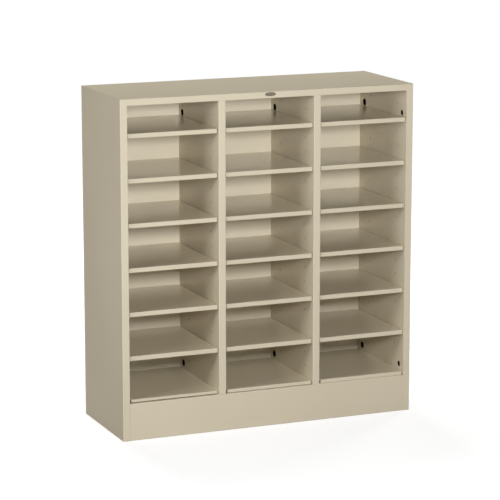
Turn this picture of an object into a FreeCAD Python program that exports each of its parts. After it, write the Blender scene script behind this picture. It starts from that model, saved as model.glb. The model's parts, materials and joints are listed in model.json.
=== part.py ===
import FreeCAD, Part
import math
import os

# Pigeonhole mail sorter: a sheet-steel cabinet of three bays, each with a fixed deck and adjustable shelves.
# Frame: origin at the centre of the footprint on the floor, +Z up, front face towards -Y, millimetres.

Vector = FreeCAD.Vector
ACROSS, BACKWARD, UP = Vector(1, 0, 0), Vector(0, 1, 0), Vector(0, 0, 1)

# ---- driving dimensions -------------------------------------------------------------------------

# sheet metal
body_sheet = 1.0             # walls, top, back, dividers and plinth
shelf_sheet = 0.8            # shelves and decks
bend_radius = 1.0            # inside radius of every bend
seam = 0.15                  # butt joints between flush painted faces

# plan
bay_width = 276.0            # clear width of one column of pigeonholes
divider_width = 22.0
wall_width = 21.0            # thickness of each double side wall
cabinet_depth = 337.0
back_recess = 20.0           # from the rear plane to the bay side of the back panel
liner_flange = 15.0          # outward flanges of the side liners, inside the wall

# elevation
kick_height = 110.0          # plinth front
deck_height = 11.5           # plinth top to the working face of the decks
lowest_rise = 126.5          # working face of the decks to that of the lowest adjustable shelf
clip_pitch = 42.87           # one step of shelf adjustment
steps_per_row = 3
shelf_rows = 6               # adjustable shelves in each bay
top_clearance = 80.0         # working face of the top shelf to the top panel's front flange
top_flange = 19.0            # front and rear flange of the top panel
plinth_return = 30.0         # depth of the returns on the plinth front and the rear rail

# shelves and decks
shelf_edge = 13.5            # depth of the shelf flanges
shelf_hem = 8.0              # return under the front flange
clip_play = 0.4              # shelf flange to clip leg
shelf_rear_gap = 1.0
shelf_recess = 6.0           # front edge behind the face of the cabinet
deck_recess = 3.0
deck_notch = 4.5             # the deck's front lip stops short of the walls by this much
lip_gaps = {"left": 3.4, "middle": 1.8, "right": 0.5}    # deck lip to plinth, as welded up

# clips, their holes and the access holes
clip_hole_drop = 8.5         # shelf's working face to the hole that its clips use
clip_inset_front = 63.0      # hole column from the face of the cabinet
clip_inset_rear = 72.0       # hole column from the back panel
clip_hole = 5.2
clip_peg = 4.8
clip_peg_length = 4.0
clip_width = 9.0
clip_sheet = 1.2
clip_ledge = 8.0
clip_cover = 3.4             # leg above the centre of its hole
clip_corner = 2.0
clip_end_margin = 20.0       # no clip hole nearer than this to the decks or to the top panel's flange
access_length = 24.0         # rear slots, along the depth
access_width = 20.0
access_round = 17.0          # front holes, in the side walls only
access_inset_front = 32.0
access_inset_rear = 28.0     # from the back panel
access_rise = 17.0           # above the decks
access_drop = 70.0           # below the top panel's front flange

# screws and nameplate
screw_shank = 3.5            # number 6 sheet-metal screws
screw_hole = 3.7
screw_head = 7.0
screw_head_height = 2.3
screw_crown = 1.2            # rounding of the head
screw_reach = 8.0
recess_length = 4.0          # cross recess
recess_width = 0.8
recess_depth = 1.2
screws_per_row = 4
screw_end_margin = 60.0
nameplate_width = 34.0
nameplate_height = 11.5
nameplate_thickness = 0.6
nameplate_rim = 1.1
nameplate_rim_height = 0.3
nameplate_rise = 11.0        # its centre above the lower edge of the top flange

# ---- places worked out from them ----------------------------------------------------------------

bend_outside = bend_radius + body_sheet
bays = ("left", "middle", "right")
bay_step = bay_width + divider_width
half_inner = (len(bays) * bay_step - divider_width) / 2
half_width = half_inner + wall_width
bay_centres = {bay: (place - 1) * bay_step for place, bay in enumerate(bays)}
divider_centres = {"left": -bay_step / 2, "right": bay_step / 2}

front = -cabinet_depth / 2
rear = cabinet_depth / 2
back_face = rear - back_recess
deck_top = kick_height + deck_height
row_pitch = clip_pitch * steps_per_row
shelf_tops = [deck_top + lowest_rise + row_pitch * row for row in reversed(range(shelf_rows))]
flange_bottom = shelf_tops[0] + top_clearance
cabinet_height = flange_bottom + top_flange
under_top = cabinet_height - body_sheet

shelf_side_gap = clip_sheet + clip_play
clip_columns = (front + clip_inset_front, back_face - clip_inset_rear)
used_holes = [top - clip_hole_drop for top in shelf_tops]
steps_below = int((used_holes[-1] - clip_end_margin - deck_top) // clip_pitch)
steps_above = int((flange_bottom - clip_end_margin - used_holes[0]) // clip_pitch)
hole_count = steps_below + steps_per_row * (shelf_rows - 1) + 1 + steps_above
hole_heights = [used_holes[-1] + clip_pitch * (step - steps_below) for step in range(hole_count)]
access_heights = (deck_top + access_rise, flange_bottom - access_drop)
screw_step = (cabinet_height - kick_height - 2 * screw_end_margin) / (screws_per_row - 1)
screw_heights = [kick_height + screw_end_margin + screw_step * place for place in range(screws_per_row)]


# ---- sheet metal --------------------------------------------------------------------------------

PLANES = {
    "xy": lambda u, v, along: Vector(u, v, along),
    "yz": lambda u, v, along: Vector(along, u, v),
    "xz": lambda u, v, along: Vector(u, along, v),
}


def left_of(path, distance):
    """A flat path moved sideways to its left, with mitred corners."""
    normals = []
    for start, end in zip(path, path[1:]):
        run = (end - start).normalize()
        normals.append(Vector(-run.y, run.x, 0))
    moved = [path[0] + normals[0] * distance]
    for point, one, two in zip(path[1:-1], normals, normals[1:]):
        moved.append(point + (one + two) * (distance / (1 + one.dot(two))))
    moved.append(path[-1] + normals[-1] * distance)
    return moved


def bend_arc(before, corner, after, radius):
    """Start, middle and end of the arc that rounds one corner of a flat path."""
    to_before = (before - corner).normalize()
    to_after = (after - corner).normalize()
    half_angle = to_before.getAngle(to_after) / 2
    reach = radius / math.tan(half_angle)
    inward = (to_before + to_after).normalize()
    middle = corner + inward * (radius / math.sin(half_angle) - radius)
    return corner + to_before * reach, middle, corner + to_after * reach


def bent_sheet(points, sheet, plane, begin, end):
    """A bent sheet that runs from begin to end, square to the plane in which its outline lies.

    The points follow one face of the sheet, and its thickness lies to the left of them.
    """
    place = PLANES[plane]
    face_path = [Vector(u, v, 0) for u, v in points]
    corners = face_path + left_of(face_path, sheet)[::-1]
    sheet_ends = (0, len(points) - 1, len(points), 2 * len(points) - 1)
    stops = []
    for index, corner in enumerate(corners):
        if index in sheet_ends:
            stops.append((corner,))
            continue
        before, after = corners[index - 1], corners[index + 1]
        is_outside = (corner - before).cross(after - corner).z > 0
        stops.append(bend_arc(before, corner, after, bend_radius + sheet * is_outside))
    edges = []
    for stop, following in zip(stops, stops[1:] + stops[:1]):
        here = [place(point.x, point.y, begin) for point in stop]
        there = place(following[0].x, following[0].y, begin)
        if len(here) > 1:
            edges.append(Part.Arc(*here).toShape())
        edges.append(Part.makeLine(here[-1], there))
    return Part.Face(Part.Wire(edges)).extrude(place(0, 0, end) - place(0, 0, begin))


def pan(width, depth, drop, sheet, notch, front_drop, hem=0.0):
    """A flat pan with its working face at z = 0, its front edge at y = 0 and flanges folded down all round.

    The front and rear flanges stop short of the sides by the notch, and a hem folds back under the front one.
    """
    half = width / 2
    bend = bend_radius + sheet
    sides = bent_sheet([(half, -drop), (half, 0), (-half, 0), (-half, -drop)], sheet, "xz", bend, depth - bend)
    ends = [(depth, -drop), (depth, 0), (0, 0), (0, -front_drop)]
    if hem > 0:
        ends.append((hem, -front_drop))
    return sides.fuse(bent_sheet(ends, sheet, "yz", notch - half, half - notch)).removeSplitter()


# ---- holes --------------------------------------------------------------------------------------

def hole_across(x, y, z, diameter, reach):
    """A round cutter along X, centred on the point."""
    return Part.makeCylinder(diameter / 2, reach, Vector(x - reach / 2, y, z), ACROSS)


def slot_across(x, y, z, length, width, reach):
    """A cutter along X for a slot whose long way is Y."""
    half_run = (length - width) / 2
    block = Part.makeBox(reach, 2 * half_run, width, Vector(x - reach / 2, y - half_run, z - width / 2))
    return [block] + [hole_across(x, y + side * half_run, z, width, reach) for side in (-1, 1)]


def wall_holes(x, reach):
    """Clip holes and rear access slots of one wall of a bay."""
    cutters = [hole_across(x, y, z, clip_hole, reach) for y in clip_columns for z in hole_heights]
    for z in access_heights:
        cutters += slot_across(x, back_face - access_inset_rear, z, access_length, access_width, reach)
    return cutters


# ---- carcass ------------------------------------------------------------------------------------

def side_panel():
    """Outer skin of the left wall."""
    outline = [(-half_inner, rear), (-half_width, rear), (-half_width, front), (-half_inner, front)]
    return bent_sheet(outline, body_sheet, "xy", 0, cabinet_height)


def side_liner():
    """Inner skin of the left wall, whose flanges lie against those of the outer skin."""
    flange_end = -half_inner - liner_flange
    near, far = front + body_sheet, rear - body_sheet
    outline = [(flange_end, near), (-half_inner, near), (-half_inner, far), (flange_end, far)]
    wall = bent_sheet(outline, body_sheet, "xy", 0, under_top)
    reach = 4 * body_sheet
    cutters = wall_holes(-half_inner, reach)
    cutters += [hole_across(-half_inner, front + access_inset_front, z, access_round, reach) for z in access_heights]
    cutters += [hole_across(-half_inner, back_face + back_recess / 2, z, screw_hole, reach) for z in screw_heights]
    return wall.cut(cutters)


def top_panel():
    """Top sheet between the outer skins, with a front and a rear flange between their flanges."""
    outline = [(rear, flange_bottom), (rear, cabinet_height), (front, cabinet_height), (front, flange_bottom)]
    flanged = bent_sheet(outline, body_sheet, "yz", seam - half_inner, half_inner - seam)
    half_sheet = half_width - body_sheet
    half_plate = cabinet_depth / 2 - body_sheet
    plate = Part.makeBox(2 * half_sheet, 2 * half_plate, body_sheet, Vector(-half_sheet, -half_plate, under_top))
    corners = [edge for edge in plate.Edges if abs(edge.tangentAt(0).z) > 0.5]
    return flanged.fuse(plate.makeFillet(bend_outside, corners)).removeSplitter()


def back_panel():
    """Dished back with its flanges to the rear, screwed to the side walls and the dividers."""
    height = under_top - kick_height
    drop = back_recess - bend_outside
    dish = pan(2 * half_inner, height, drop, body_sheet, bend_outside, drop)
    dish.rotate(Vector(), ACROSS, 90)
    dish.translate(Vector(0, back_face, kick_height))
    return dish.cut(back_screws(screw_hole_cutter()))


def kick_plate():
    """Plinth front with a return at the top and on the floor."""
    inner = front + plinth_return
    outline = [(inner, kick_height), (front, kick_height), (front, 0), (inner, 0)]
    return bent_sheet(outline, body_sheet, "yz", seam - half_inner, half_inner - seam)


def base_runner(centre):
    """Channel under one divider, held between the returns of the plinth and of the rear rail."""
    near, far = centre - divider_width / 2, centre + divider_width / 2
    foot, head = body_sheet, kick_height - body_sheet
    outline = [(far, foot), (far, head), (near, head), (near, foot)]
    return bent_sheet(outline, body_sheet, "xz", front + bend_outside, rear - bend_outside)


def divider(centre):
    """Hollow upright wrapped from one sheet, closed at the rear by a lip that the back panel is screwed to."""
    near, far = centre - divider_width / 2, centre + divider_width / 2
    lip_end = near + body_sheet + seam
    outline = [(near, back_face), (near, front), (far, front), (far, back_face), (lip_end, back_face)]
    upright = bent_sheet(outline, body_sheet, "xy", kick_height, under_top)
    flange_notch = Part.makeBox(divider_width, bend_outside, top_flange, Vector(near, front, flange_bottom))
    return upright.cut([flange_notch] + wall_holes(centre, 2 * divider_width) + back_screws(screw_hole_cutter()))


# ---- shelves ------------------------------------------------------------------------------------

def deck(bay):
    """Fixed bottom shelf, welded between the walls on top of the plinth."""
    depth = back_face - front - deck_recess
    sheet = pan(bay_width, depth, deck_height, shelf_sheet, deck_notch, deck_height - lip_gaps[bay])
    sheet.translate(Vector(bay_centres[bay], front + deck_recess, deck_top))
    return sheet


def shelf(bay, top):
    """Adjustable shelf, which lies on its clips and slides out to the front."""
    depth = back_face - shelf_rear_gap - front - shelf_recess
    width = bay_width - 2 * shelf_side_gap
    sheet = pan(width, depth, shelf_edge, shelf_sheet, bend_radius + shelf_sheet, shelf_edge, shelf_hem)
    sheet.translate(Vector(bay_centres[bay], front + shelf_recess, top))
    return sheet


def clip():
    """Shelf clip with its wall at x = 0, its ledge's upper face at z = 0 and its peg pointing to -X."""
    peg_height = shelf_edge - clip_hole_drop
    leg_top = peg_height + clip_cover
    leg = Part.makeBox(clip_sheet, clip_width, leg_top + clip_sheet, Vector(0, -clip_width / 2, -clip_sheet))
    ledge = Part.makeBox(clip_ledge, clip_width, clip_sheet, Vector(0, -clip_width / 2, -clip_sheet))
    leg = leg.makeFillet(clip_corner, [edge for edge in leg.Edges if is_free_corner(edge, ACROSS, leg_top)])
    ledge = ledge.makeFillet(clip_corner, [edge for edge in ledge.Edges if is_free_corner(edge, UP, clip_ledge)])
    peg = Part.makeCylinder(clip_peg / 2, clip_peg_length, Vector(-clip_peg_length, 0, peg_height), ACROSS)
    return leg.fuse([ledge, peg]).removeSplitter()


def is_free_corner(edge, along, reach):
    """Whether an edge runs along one axis at the far end of a clip's leg or ledge."""
    across_axis = UP if along == ACROSS else ACROSS
    return abs(edge.tangentAt(0).dot(along)) > 0.5 and abs(edge.CenterOfMass.dot(across_axis) - reach) < 0.01


def bay_clips(bay):
    """The clips of one bay, four under each adjustable shelf."""
    clips = []
    for top in shelf_tops:
        for y in clip_columns:
            for side in (-1, 1):
                piece = clip() if side < 0 else clip().mirror(Vector(), ACROSS)
                piece.translate(Vector(bay_centres[bay] + side * bay_width / 2, y, top - shelf_edge))
                clips.append(piece)
    return Part.makeCompound(clips)


# ---- screws and nameplate -----------------------------------------------------------------------

def screw():
    """Pan-head screw that points down, the underside of its head at z = 0."""
    head = Part.makeCylinder(screw_head / 2, screw_head_height)
    rim = [edge for edge in head.Edges if edge.BoundBox.ZMin > screw_head_height - 0.01]
    head = head.makeFillet(screw_crown, rim)
    floor = screw_head_height - recess_depth
    arms = []
    for length, width in ((recess_length, recess_width), (recess_width, recess_length)):
        arms.append(Part.makeBox(length, width, recess_depth, Vector(-length / 2, -width / 2, floor)))
    shank = Part.makeCylinder(screw_shank / 2, screw_reach, Vector(0, 0, -screw_reach))
    return head.cut(arms).fuse(shank)


def screw_hole_cutter():
    """The clearance hole of a screw, in the same place as the screw."""
    return Part.makeCylinder(screw_hole / 2, 2 * screw_reach, Vector(0, 0, -screw_reach))


def back_screws(piece):
    """Copies of a piece at every screw of the back panel: into the dividers, and sideways into the walls."""
    copies = []
    for z in screw_heights:
        for centre in divider_centres.values():
            place = Vector(centre, back_face + body_sheet, z)
            copies.append(piece.transformed(FreeCAD.Placement(place, FreeCAD.Rotation(UP, BACKWARD)).toMatrix()))
        for side in (-1, 1):
            place = Vector(side * (half_inner - body_sheet), back_face + back_recess / 2, z)
            turn = FreeCAD.Rotation(UP, ACROSS * -side)
            copies.append(piece.transformed(FreeCAD.Placement(place, turn).toMatrix()))
    return copies


def nameplate():
    """Blank oval badge with a raised rim, on the front flange of the top panel."""
    def oval(inset, thickness):
        wide, high = nameplate_width / 2 - inset, nameplate_height / 2 - inset
        outline = Part.Ellipse(Vector(), wide, high).toShape()
        return Part.Face(Part.Wire([outline])).extrude(Vector(0, 0, thickness))
    badge = oval(0, nameplate_thickness + nameplate_rim_height)
    field = oval(nameplate_rim, nameplate_rim_height)
    field.translate(Vector(0, 0, nameplate_thickness))
    badge = badge.cut(field)
    badge.rotate(Vector(), ACROSS, 90)
    badge.translate(Vector(0, front, flange_bottom + nameplate_rise))
    return badge


# ---- the whole cabinet --------------------------------------------------------------------------

def mirrored(shape):
    """The same piece on the right-hand side."""
    return shape.mirror(Vector(), ACROSS)


def build():
    """Every node of the cabinet by name."""
    plinth_front = kick_plate()
    nodes = {
        "left_side_panel": side_panel(),
        "left_side_liner": side_liner(),
        "right_side_panel": mirrored(side_panel()),
        "right_side_liner": mirrored(side_liner()),
        "top_panel": top_panel(),
        "back_panel": back_panel(),
        "kick_plate": plinth_front,
        "rear_base_rail": plinth_front.mirror(Vector(), BACKWARD),
        "back_panel_screws": Part.makeCompound(back_screws(screw())),
        "nameplate": nameplate(),
    }
    for side, centre in divider_centres.items():
        nodes[f"divider_{side}"] = divider(centre)
        nodes[f"base_runner_{side}"] = base_runner(centre)
    for bay in bays:
        nodes[f"bottom_shelf_{bay}"] = deck(bay)
        nodes[f"shelf_clips_{bay}"] = bay_clips(bay)
        for row, top in enumerate(shelf_tops, start=1):
            nodes[f"{bay}_shelf_{row}"] = shelf(bay, top)
    return nodes


os.makedirs("parts", exist_ok=True)
for name, shape in build().items():
    shape.exportStep(f"parts/{name}.step")
print(f"overall {2 * half_width:.1f} x {cabinet_depth:.1f} x {cabinet_height:.2f} mm")
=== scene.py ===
import json
import math
from typing import NamedTuple

import bmesh
import bpy
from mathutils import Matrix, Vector


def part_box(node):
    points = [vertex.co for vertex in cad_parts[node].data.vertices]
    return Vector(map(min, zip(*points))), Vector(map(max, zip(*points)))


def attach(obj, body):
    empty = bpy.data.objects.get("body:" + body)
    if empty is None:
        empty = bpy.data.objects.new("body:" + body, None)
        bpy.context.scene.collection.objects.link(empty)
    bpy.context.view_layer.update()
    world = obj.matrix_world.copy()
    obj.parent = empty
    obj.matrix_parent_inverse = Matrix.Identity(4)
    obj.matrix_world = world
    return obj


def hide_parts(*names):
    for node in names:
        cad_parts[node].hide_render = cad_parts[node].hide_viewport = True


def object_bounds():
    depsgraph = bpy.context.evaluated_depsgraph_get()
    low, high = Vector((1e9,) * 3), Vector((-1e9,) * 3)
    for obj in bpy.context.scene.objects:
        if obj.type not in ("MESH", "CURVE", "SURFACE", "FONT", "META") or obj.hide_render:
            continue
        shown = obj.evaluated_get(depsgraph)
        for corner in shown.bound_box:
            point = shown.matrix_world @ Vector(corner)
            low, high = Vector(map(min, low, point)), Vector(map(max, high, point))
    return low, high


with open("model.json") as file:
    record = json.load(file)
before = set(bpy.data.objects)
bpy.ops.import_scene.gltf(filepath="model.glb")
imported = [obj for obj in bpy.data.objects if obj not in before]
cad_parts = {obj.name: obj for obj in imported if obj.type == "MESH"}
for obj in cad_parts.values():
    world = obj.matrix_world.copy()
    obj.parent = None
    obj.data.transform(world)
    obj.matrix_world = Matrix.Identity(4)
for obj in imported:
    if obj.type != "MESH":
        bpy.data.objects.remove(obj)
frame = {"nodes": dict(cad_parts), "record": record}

# The looks of a sheet-steel mail sorter: baked enamel, zinc-plated hardware, a blank badge, a studio.
# Metres, in the row frame: +Z up, and the open fronts of the pigeonholes face -Y.

cad_low, cad_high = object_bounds()
MM = 0.001

# ---- colours ------------------------------------------------------------------------------------

ENAMEL = (0.688, 0.613, 0.468)
PAINTED_LIGHT_ENAMEL = (0.757, 0.692, 0.553)     # painted light: a lighter enamel for the back sheet's bay side
# painted shade: near-black, for the faces inside the hollow walls, so that their slots look dark
CAVITY_SHADE = (0.007, 0.006, 0.005)
ZINC = (0.56, 0.56, 0.54)
BADGE_RIM = (0.110, 0.090, 0.064)
BADGE_FIELD = (0.220, 0.186, 0.140)
WHITE = (1.0, 1.0, 1.0)

# ---- camera -------------------------------------------------------------------------------------

CAMERA_PLACE = (-2.6206, -6.2827, 1.8628)
CAMERA_YAW = 22.697          # degrees to the right of +Y
CAMERA_PITCH = 11.355        # degrees below level
CAMERA_LENS = 168.325        # millimetres, as is the sensor
CAMERA_SENSOR = 36.0

# ---- coats of enamel ----------------------------------------------------------------------------

# Stretches of noise: its marks are drawn out along an axis whose number is small.
EVEN = (1.0, 1.0, 1.0)
UP_AND_DOWN = (0.6, 0.6, 0.06)
SIDEWAYS = (0.05, 0.6, 0.6)
IN_AND_OUT = (0.6, 0.05, 0.6)


class Coat(NamedTuple):
    """One finish of the enamel: matt outside, smooth where mail rubs and smoothest where it slides."""
    colour: tuple
    roughness: tuple         # of its glossiest and of its dullest patches
    specular: float
    peel: float              # depth of the orange peel
    rubbed: tuple            # the stretch that the scuffs follow
    scuffs: float            # their strength, from 0 to 1


SHELL = Coat(ENAMEL, (0.46, 0.56), specular=0.0, peel=0.030 * MM, rubbed=UP_AND_DOWN, scuffs=0.20)
PLINTH = SHELL._replace(rubbed=SIDEWAYS, scuffs=0.40)
WALLS = Coat(ENAMEL, (0.14, 0.19), specular=0.55, peel=0.008 * MM, rubbed=IN_AND_OUT, scuffs=0.15)
# the walls' coat in the lighter colour, which paints light on the back sheet's bay side
BACK_WITH_PAINTED_LIGHT = WALLS._replace(colour=PAINTED_LIGHT_ENAMEL)
SHELVES = WALLS._replace(roughness=(0.08, 0.12), specular=0.85, scuffs=0.20)

TONE_SPREAD = 0.025          # how far the tone drifts over a panel, as a share of it
SPECK_TONE = 0.80            # this and the next two tones are shares of the coat's colour
SCUFF_TONE = 0.90
EDGE_HIGHLIGHT_TONE = 1.10             # painted highlight: the bends are made a little lighter
SPECK_STRENGTH = 0.10
LEAST_EDGE_HIGHLIGHT = 0.35       # share of the painted highlight that is left where its noise is lowest
SCUFF_DULLING = 0.20         # how much rougher a full scuff is
BEND_RADIUS = 1.3 * MM
SHEET_WAVE_DEPTH = 0.35 * MM

# ---- layers of noise ----------------------------------------------------------------------------


class Layer(NamedTuple):
    """Smooth noise with so many cells in a metre, from 0 to 1 but mostly near 0.5."""
    cells: float
    detail: float = 2.0
    levels: tuple = (0.3, 0.7)      # where its marks begin and where they are full
    shift: float = 0.0              # moves it off the layers that it is used with


TONE_DRIFT = Layer(cells=2.4, detail=3.0)
SPECKS = Layer(cells=850.0, levels=(0.62, 0.80))
# breaks up the painted highlight on the bends
EDGE_HIGHLIGHT_BREAKUP = Layer(cells=38.0, detail=3.0, levels=(0.35, 0.65))
SCUFFS = Layer(cells=95.0, detail=4.0, levels=(0.60, 0.78), shift=5.0)
SCUFF_PATCHES = Layer(cells=4.0, levels=(0.42, 0.62), shift=9.0)
GLOSS_DRIFT = Layer(cells=7.0, detail=4.0, shift=3.0)
SHEET_WAVES = Layer(cells=3.2, detail=1.0)
ORANGE_PEEL = Layer(cells=430.0)

# tone, roughness and grain of the near-black painted shade inside the hollow walls
CAVITY_CLOUDS = Layer(cells=14.0, detail=3.0)
CAVITY_DULLNESS = Layer(cells=60.0)
CAVITY_GRAIN = Layer(cells=200.0)
ZINC_CLOUDS = Layer(cells=120.0, detail=3.0, levels=(0.35, 0.65))
ZINC_GRAIN = Layer(cells=1500.0, detail=3.0)
CAST_CLOUDS = Layer(cells=260.0, detail=3.0)
CAST_GRAIN = Layer(cells=2600.0)


def rgba(colour, share=1.0):
    """A colour, made lighter or darker by a share, with full alpha."""
    return (*[channel * share for channel in colour], 1.0)


class Finish:
    """A material and short calls for the nodes that the finishes are made of."""

    def __init__(self, name, offset=0.0):
        self.material = bpy.data.materials.new(name)
        self.material.use_nodes = True
        self.tree = self.material.node_tree
        self.shader = self.tree.nodes["Principled BSDF"]
        self.place = self.node("TexCoord").outputs["Object"]
        self.offset = offset

    def node(self, kind, **settings):
        """Adds a shader node of a kind, with its settings."""
        made = self.tree.nodes.new("ShaderNode" + kind)
        for key, value in settings.items():
            setattr(made, key, value)
        return made

    def plug(self, target, value):
        """Puts a number, a colour or another node's output into a socket."""
        if isinstance(value, bpy.types.NodeSocket):
            self.tree.links.new(value, target)
        else:
            target.default_value = value

    def noise(self, layer, stretch=EVEN):
        """A layer's noise as it is, moved along by the finish's offset."""
        moved = self.offset + layer.shift
        mapping = self.node("Mapping")
        self.plug(mapping.inputs["Vector"], self.place)
        self.plug(mapping.inputs["Location"], (moved, 2 * moved, 3 * moved))
        self.plug(mapping.inputs["Scale"], stretch)
        made = self.node("TexNoise")
        self.plug(made.inputs["Vector"], mapping.outputs["Vector"])
        self.plug(made.inputs["Scale"], layer.cells)
        self.plug(made.inputs["Detail"], layer.detail)
        return made.outputs["Fac"]

    def spread(self, value, source, target=(0.0, 1.0)):
        """A value stretched from one range to another, and held inside it."""
        made = self.node("MapRange")
        self.plug(made.inputs["Value"], value)
        for key, number in zip(("From Min", "From Max", "To Min", "To Max"), (*source, *target)):
            self.plug(made.inputs[key], number)
        return made.outputs["Result"]

    def marks(self, layer, target=(0.0, 1.0), stretch=EVEN):
        """A layer's noise, stretched from its two levels to a range."""
        return self.spread(self.noise(layer, stretch), layer.levels, target)

    def maths(self, operation, first, second):
        """Two values joined by a math node's operation."""
        made = self.node("Math", operation=operation)
        self.plug(made.inputs[0], first)
        self.plug(made.inputs[1], second)
        return made.outputs["Value"]

    def blend(self, factor, first, second):
        """One colour into another by a factor from 0 to 1."""
        made = self.node("Mix", data_type="RGBA")
        self.plug(made.inputs["Factor"], factor)
        self.plug(made.inputs["A"], first)
        self.plug(made.inputs["B"], second)
        return made.outputs["Result"]

    def edges(self, radius):
        """1 on edges sharper than the radius and 0 on the flats, with the rounded normal itself."""
        flat, sharp = 0.995, 0.80           # how well the rounded normal agrees with the true one
        rounded = self.node("Bevel", samples=6)
        self.plug(rounded.inputs["Radius"], radius)
        agree = self.node("VectorMath", operation="DOT_PRODUCT")
        self.plug(agree.inputs[0], rounded.outputs["Normal"])
        self.plug(agree.inputs[1], self.node("NewGeometry").outputs["True Normal"])
        return self.spread(agree.outputs["Value"], (flat, sharp)), rounded.outputs["Normal"]

    def bump(self, height, depth, normal=None):
        """A surface normal that is moved by a height map of so many metres."""
        made = self.node("Bump")
        self.plug(made.inputs["Height"], height)
        self.plug(made.inputs["Distance"], depth)
        if normal is not None:
            self.plug(made.inputs["Normal"], normal)
        return made.outputs["Normal"]

    def wear(self, colour, roughness, normal):
        """Puts the three that vary over the surface on the shader, and gives the material."""
        self.plug(self.shader.inputs["Base Color"], colour)
        self.plug(self.shader.inputs["Roughness"], roughness)
        self.plug(self.shader.inputs["Normal"], normal)
        return self.material


# ---- materials ----------------------------------------------------------------------------------

def enamel(name, coat, offset):
    """Baked enamel: orange peel, a drifting tone, painted highlights on bends, scuffs along one way of
    use.
    """
    paint = Finish(name, offset)
    colour = coat.colour
    darker, lighter = rgba(colour, 1 - TONE_SPREAD), rgba(colour, 1 + TONE_SPREAD)
    tone = paint.blend(paint.marks(TONE_DRIFT), darker, lighter)
    tone = paint.blend(paint.marks(SPECKS, (0.0, SPECK_STRENGTH)), tone, rgba(colour, SPECK_TONE))
    edge, rounded = paint.edges(BEND_RADIUS)
    # painted highlight: the bends are lightened, broken up by noise
    edge_highlight = paint.maths("MULTIPLY", edge, paint.marks(EDGE_HIGHLIGHT_BREAKUP, (LEAST_EDGE_HIGHLIGHT, 1.0)))
    tone = paint.blend(edge_highlight, tone, rgba(colour, EDGE_HIGHLIGHT_TONE))
    scuffs = paint.marks(SCUFFS, stretch=coat.rubbed)
    scuffs = paint.maths("MULTIPLY", scuffs, paint.marks(SCUFF_PATCHES))
    scuffs = paint.maths("MULTIPLY", scuffs, coat.scuffs)
    tone = paint.blend(scuffs, tone, rgba(colour, SCUFF_TONE))
    gloss = paint.marks(GLOSS_DRIFT, coat.roughness)
    roughness = paint.maths("ADD", gloss, paint.maths("MULTIPLY", scuffs, SCUFF_DULLING))
    paint.plug(paint.shader.inputs["Specular IOR Level"], coat.specular)
    sheet_waves = paint.bump(paint.noise(SHEET_WAVES), SHEET_WAVE_DEPTH, rounded)
    peel = paint.bump(paint.noise(ORANGE_PEEL), coat.peel, sheet_waves)
    return paint.wear(tone, roughness, peel)


def painted_cavity_shade():
    """Painted shade inside the hollow walls: nearly black, with a cloudy tone, dull roughness and a fine
    grain.
    """
    darker, lighter = 0.7, 1.4
    roughness_range, grain_depth = (0.75, 0.9), 0.02 * MM
    shade_finish = Finish("cavity_painted_shade")
    clouds = shade_finish.noise(CAVITY_CLOUDS)
    tone = shade_finish.blend(clouds, rgba(CAVITY_SHADE, darker), rgba(CAVITY_SHADE, lighter))
    roughness = shade_finish.marks(CAVITY_DULLNESS, roughness_range)
    return shade_finish.wear(tone, roughness, shade_finish.bump(shade_finish.noise(CAVITY_GRAIN), grain_depth))


def zinc(name, brightness):
    """Dulled zinc plate with a faint upright grain and brighter worn corners."""
    dull, polished, upright = 0.86, 1.25, (1.0, 1.0, 0.08)
    corner_radius, roughness_range, grain_depth = 0.3 * MM, (0.34, 0.52), 0.008 * MM
    plate = Finish(name)
    tone = plate.blend(plate.marks(ZINC_CLOUDS), rgba(ZINC, dull * brightness), rgba(ZINC, brightness))
    edge, rounded = plate.edges(corner_radius)
    tone = plate.blend(edge, tone, rgba(ZINC, polished * brightness))
    grain = plate.noise(ZINC_GRAIN, upright)
    roughness = plate.spread(grain, ZINC_GRAIN.levels, roughness_range)
    plate.plug(plate.shader.inputs["Metallic"], 1.0)
    return plate.wear(tone, roughness, plate.bump(grain, grain_depth, rounded))


def badge_metal(name, colour, roughness):
    """Dull cast metal of the badge, with a fine sandy grain and a rubbed edge."""
    darker, lighter, rubbed = 0.80, 1.20, 1.8
    edge_radius, grain_roughness, grain_depth = 0.25 * MM, 0.15, 0.02 * MM
    cast = Finish(name)
    tone = cast.blend(cast.noise(CAST_CLOUDS), rgba(colour, darker), rgba(colour, lighter))
    edge, rounded = cast.edges(edge_radius)
    tone = cast.blend(edge, tone, rgba(colour, rubbed))
    grain = cast.noise(CAST_GRAIN)
    roughness = cast.spread(grain, CAST_GRAIN.levels, (roughness, roughness + grain_roughness))
    cast.plug(cast.shader.inputs["Specular IOR Level"], 0.15)
    return cast.wear(tone, roughness, cast.bump(grain, grain_depth, rounded))


# ---- badge --------------------------------------------------------------------------------------

RIM_ROUGHNESS = 0.40
FIELD_ROUGHNESS = 0.34
CORNERS_AROUND = 96


def badge_rings(half_width, half_height, thickness):
    """The badge's ovals from its outline inwards, as half width, half height and height off the flange.

    Gives those of its rounded rim, those of its domed field and the height of the field's middle.
    """
    rim, foot, field, dome = 1.3 * MM, 0.35 * thickness, 0.50 * thickness, 0.30 * thickness
    steps = 8
    rim_rings = [(half_width, half_height, 0.0)]
    for step in range(steps + 1):
        turn = math.pi * step / steps
        inset = rim * (1 - math.cos(turn)) / 2
        floor = foot if step < steps / 2 else field
        height = floor + (thickness - floor) * math.sin(turn)
        rim_rings.append((half_width - inset, half_height - inset, height))
    field_rings = []
    for step in range(1, steps):
        share = 1 - step / steps
        height = field + dome * (1 - share ** 2)
        field_rings.append(((half_width - rim) * share, (half_height - rim) * share, height))
    return rim_rings, field_rings, field + dome


def oval(shape, centre, half_width, half_height, height):
    """Corners on an oval round the badge's centre, at a height off the flange behind it."""
    turns = [2 * math.pi * place / CORNERS_AROUND for place in range(CORNERS_AROUND)]
    across = [(half_width * math.cos(turn), half_height * math.sin(turn)) for turn in turns]
    return [shape.verts.new((centre.x + x, centre.y - height, centre.z + z)) for x, z in across]


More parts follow.
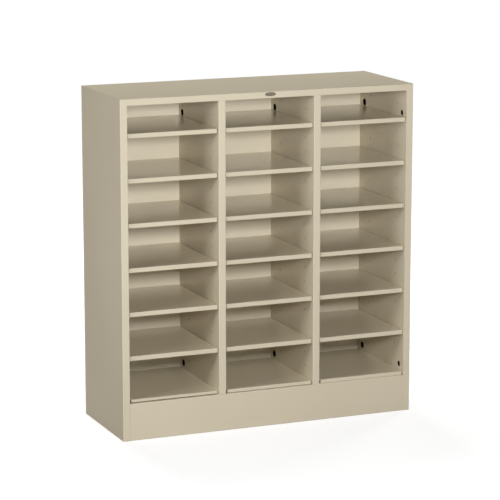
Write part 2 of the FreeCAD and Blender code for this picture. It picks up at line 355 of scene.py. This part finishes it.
def blank_badge():
    """Blank oval badge in its plate's place: a rounded dark rim round a lighter, domed field."""
    low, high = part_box("nameplate")
    centre = (low + high) / 2
    centre.y = high.y
    half_width, half_height, thickness = (high.x - low.x) / 2, (high.z - low.z) / 2, high.y - low.y
    rim_rings, field_rings, peak_height = badge_rings(half_width, half_height, thickness)
    shape = bmesh.new()
    loops = [oval(shape, centre, *ring) for ring in rim_rings + field_rings]
    for ring, (outer, inner) in enumerate(zip(loops, loops[1:]), start=1):
        for place in range(CORNERS_AROUND):
            after = (place + 1) % CORNERS_AROUND
            face = shape.faces.new((outer[place], outer[after], inner[after], inner[place]))
            face.material_index = int(ring >= len(rim_rings))
    peak = shape.verts.new((centre.x, centre.y - peak_height, centre.z))
    innermost = loops[-1]
    for place in range(CORNERS_AROUND):
        face = shape.faces.new((innermost[place], innermost[(place + 1) % CORNERS_AROUND], peak))
        face.material_index = 1
    shape.faces.new(reversed(loops[0]))
    bmesh.ops.recalc_face_normals(shape, faces=shape.faces)
    for face in shape.faces:
        face.smooth = len(face.verts) < CORNERS_AROUND     # all but the flat base
    mesh = bpy.data.meshes.new("blank_badge")
    shape.to_mesh(mesh)
    shape.free()
    mesh.materials.append(badge_metal("badge_rim", BADGE_RIM, RIM_ROUGHNESS))
    mesh.materials.append(badge_metal("badge_field", BADGE_FIELD, FIELD_ROUGHNESS))
    badge = bpy.data.objects.new("blank_badge", mesh)
    bpy.context.scene.collection.objects.link(badge)
    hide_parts("nameplate")
    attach(badge, "cabinet")


# ---- finishes on the pieces ---------------------------------------------------------------------

SHELF_OFFSET = 0.37          # from one piece to the next, so that no two shelves drift alike


def finish_pieces():
    """Gives each piece its finish, by the slot that it is recorded under or by its name."""
    slots = {part["node"]: part["material_slot"] for part in frame["record"]["subparts"]}
    hardware = {
        "clip_zinc": zinc("clip_zinc_plate", brightness=1.0),
        "screw_zinc": zinc("screw_zinc_plate", brightness=0.9),
        "badge_metal": badge_metal("badge_back", BADGE_RIM, RIM_ROUGHNESS),
    }
    shell = enamel("enamel_shell", SHELL, offset=0.0)
    plinth = enamel("enamel_plinth", PLINTH, offset=2.3)
    walls = enamel("enamel_walls", WALLS, offset=4.1)
    painted = {
        "left_side_panel": shell,
        "right_side_panel": shell,
        "top_panel": shell,
        "kick_plate": plinth,
        "rear_base_rail": plinth,
        # the back sheet's bay side gets a lighter enamel: painted light
        "back_panel": enamel("enamel_back_painted_light", BACK_WITH_PAINTED_LIGHT, offset=6.2),
    }
    for place, (name, node) in enumerate(sorted(frame["nodes"].items())):
        is_shelf = "shelf" in name
        if slots[name] in hardware:
            finish = hardware[slots[name]]
        elif is_shelf:
            finish = enamel(f"enamel_{name}", SHELVES, offset=SHELF_OFFSET * place)
        else:
            finish = painted.get(name, walls)
        node.material_slots[0].material = finish
        if finish not in (shell, plinth, *hardware.values()):
            dull_outside(node.data, shell, only_top_rubbed=is_shelf)


def refinish(mesh, finish, faces):
    """Adds a finish to a mesh and gives it to some of its faces."""
    mesh.materials.append(finish)
    for face in faces:
        face.material_index = len(mesh.materials) - 1


def dull_outside(mesh, shell, only_top_rubbed):
    """Gives the shell's finish to fronts, to a shelf's flanges and to all behind the back sheet."""
    front_limit = cad_low.y + 10 * MM
    rear_limit = cad_high.y - 19.5 * MM       # inside the back sheet, behind its bay side
    leans_forward, leans_up = -0.6, 0.5       # where a face's normal counts as pointing that way
    dull = []
    for face in mesh.polygons:
        front = face.normal.y < leans_forward and face.center.y < front_limit
        rear = face.center.y > rear_limit
        if front or rear or (only_top_rubbed and face.normal.z < leans_up):
            dull.append(face)
    refinish(mesh, shell, dull)


def paint_shade_in_cavities():
    """Gives the faces inside the double walls and the hollow dividers the near-black painted shade."""
    shade_finish = painted_cavity_shade()
    inset = 0.75 * MM
    walls = {name: name for name in ("divider_left", "divider_right")}
    for side in ("left", "right"):
        walls[f"{side}_side_liner"] = walls[f"{side}_side_panel"] = f"{side}_side_panel"
    for name, wall in walls.items():
        low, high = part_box(wall)
        mesh = frame["nodes"][name].data
        hidden = []
        for face in mesh.polygons:
            if all(low[axis] + inset < face.center[axis] < high[axis] - inset for axis in (0, 1)):
                hidden.append(face)
        refinish(mesh, shade_finish, hidden)


# ---- studio -------------------------------------------------------------------------------------

AMBIENT = 0.02               # the world's even light on the object
FLOOR_REACH = 20.0
FLOOR_TONE = 0.45
FLOOR_LIFT = (0.70, 1.0)     # glow that only the eye sees on the floor, by the object and far from it
LIFT_DISTANCE = (0.7, 2.2)   # from the object's middle, where the glow has these two strengths


def white_to_the_eye(tree, otherwise):
    """1 for rays that show the background, straight, mirrored or through glass, else the value given."""
    rays = tree.nodes.new("ShaderNodeLightPath")
    seen = rays.outputs["Is Camera Ray"]
    for kind in ("Is Glossy Ray", "Is Transmission Ray"):
        either = tree.nodes.new("ShaderNodeMath")
        either.operation = "MAXIMUM"
        tree.links.new(seen, either.inputs[0])
        tree.links.new(rays.outputs[kind], either.inputs[1])
        seen = either.outputs["Value"]
    level = tree.nodes.new("ShaderNodeMapRange")
    tree.links.new(seen, level.inputs["Value"])
    level.inputs["To Min"].default_value = otherwise
    level.inputs["To Max"].default_value = 1.0
    return level.outputs["Result"]


def studio_world():
    """An even soft light all round, which the camera and reflections see as white."""
    world = bpy.data.worlds.new("studio")
    world.use_nodes = True
    background = world.node_tree.nodes["Background"]
    background.inputs["Color"].default_value = rgba(WHITE)
    level = white_to_the_eye(world.node_tree, AMBIENT)
    world.node_tree.links.new(level, background.inputs["Strength"])
    bpy.context.scene.world = world


def studio_floor():
    """A wide floor that keeps the shadow: the eye sees it lifted to white, less so by the object."""
    mesh = bpy.data.meshes.new("floor")
    corners = [(x * FLOOR_REACH, y * FLOOR_REACH, 0.0) for x, y in ((-1, -1), (1, -1), (1, 1), (-1, 1))]
    mesh.from_pydata(corners, [], [(0, 1, 2, 3)])
    floor = bpy.data.objects.new("studio_floor", mesh)
    bpy.context.scene.collection.objects.link(floor)
    paper = Finish("floor_paper")
    away = paper.node("VectorMath", operation="LENGTH")
    paper.plug(away.inputs[0], paper.place)
    level = paper.spread(away.outputs["Value"], LIFT_DISTANCE, FLOOR_LIFT)
    seen = white_to_the_eye(paper.tree, 0.0)
    paper.plug(paper.shader.inputs["Base Color"], rgba(WHITE, FLOOR_TONE))
    paper.plug(paper.shader.inputs["Roughness"], 0.9)
    paper.plug(paper.shader.inputs["Specular IOR Level"], 0.0)
    paper.plug(paper.shader.inputs["Emission Color"], rgba(WHITE))
    paper.plug(paper.shader.inputs["Emission Strength"], paper.maths("MULTIPLY", level, seen))
    mesh.materials.append(paper.material)


def softbox(name, azimuth, distance, height, size, power):
    """A soft light round the cabinet, aimed at the middle of its face and not seen itself.

    Its azimuth is in degrees from straight ahead, to the right, and its height is above the floor.
    """
    lamp = bpy.data.lights.new(name, "AREA")
    lamp.shape = "RECTANGLE"
    lamp.size, lamp.size_y = size
    lamp.energy = power
    holder = bpy.data.objects.new(name, lamp)
    bpy.context.scene.collection.objects.link(holder)
    turn = math.radians(azimuth)
    face = Vector(((cad_low.x + cad_high.x) / 2, cad_low.y, (cad_low.z + cad_high.z) / 2))
    way_out = Vector((math.sin(turn) * distance, -math.cos(turn) * distance, height - face.z))
    holder.location = face + way_out
    holder.rotation_euler = (face - holder.location).to_track_quat("-Z", "Y").to_euler()
    holder.visible_camera = False


def studio_camera():
    """A long lens that looks down at the cabinet from its front left."""
    lens = bpy.data.cameras.new("camera")
    lens.lens = CAMERA_LENS
    lens.sensor_width = CAMERA_SENSOR
    holder = bpy.data.objects.new("camera", lens)
    bpy.context.scene.collection.objects.link(holder)
    holder.location = CAMERA_PLACE
    holder.rotation_euler = (math.radians(90 - CAMERA_PITCH), 0.0, math.radians(-CAMERA_YAW))
    bpy.context.scene.camera = holder


studio_camera()
finish_pieces()
paint_shade_in_cavities()
blank_badge()
studio_world()
studio_floor()
softbox("softbox_front", azimuth=-10, distance=3.0, height=1.4, size=(0.6, 0.43), power=71)
softbox("softbox_side", azimuth=-77, distance=3.2, height=1.4, size=(1.0, 0.5), power=37)
softbox("softbox_overhead", azimuth=180, distance=2.7, height=3.5, size=(1.5, 1.5), power=92)
softbox("softbox_rear", azimuth=125, distance=3.2, height=1.2, size=(0.8, 0.8), power=35)
bpy.context.scene.view_settings.view_transform = "Standard"
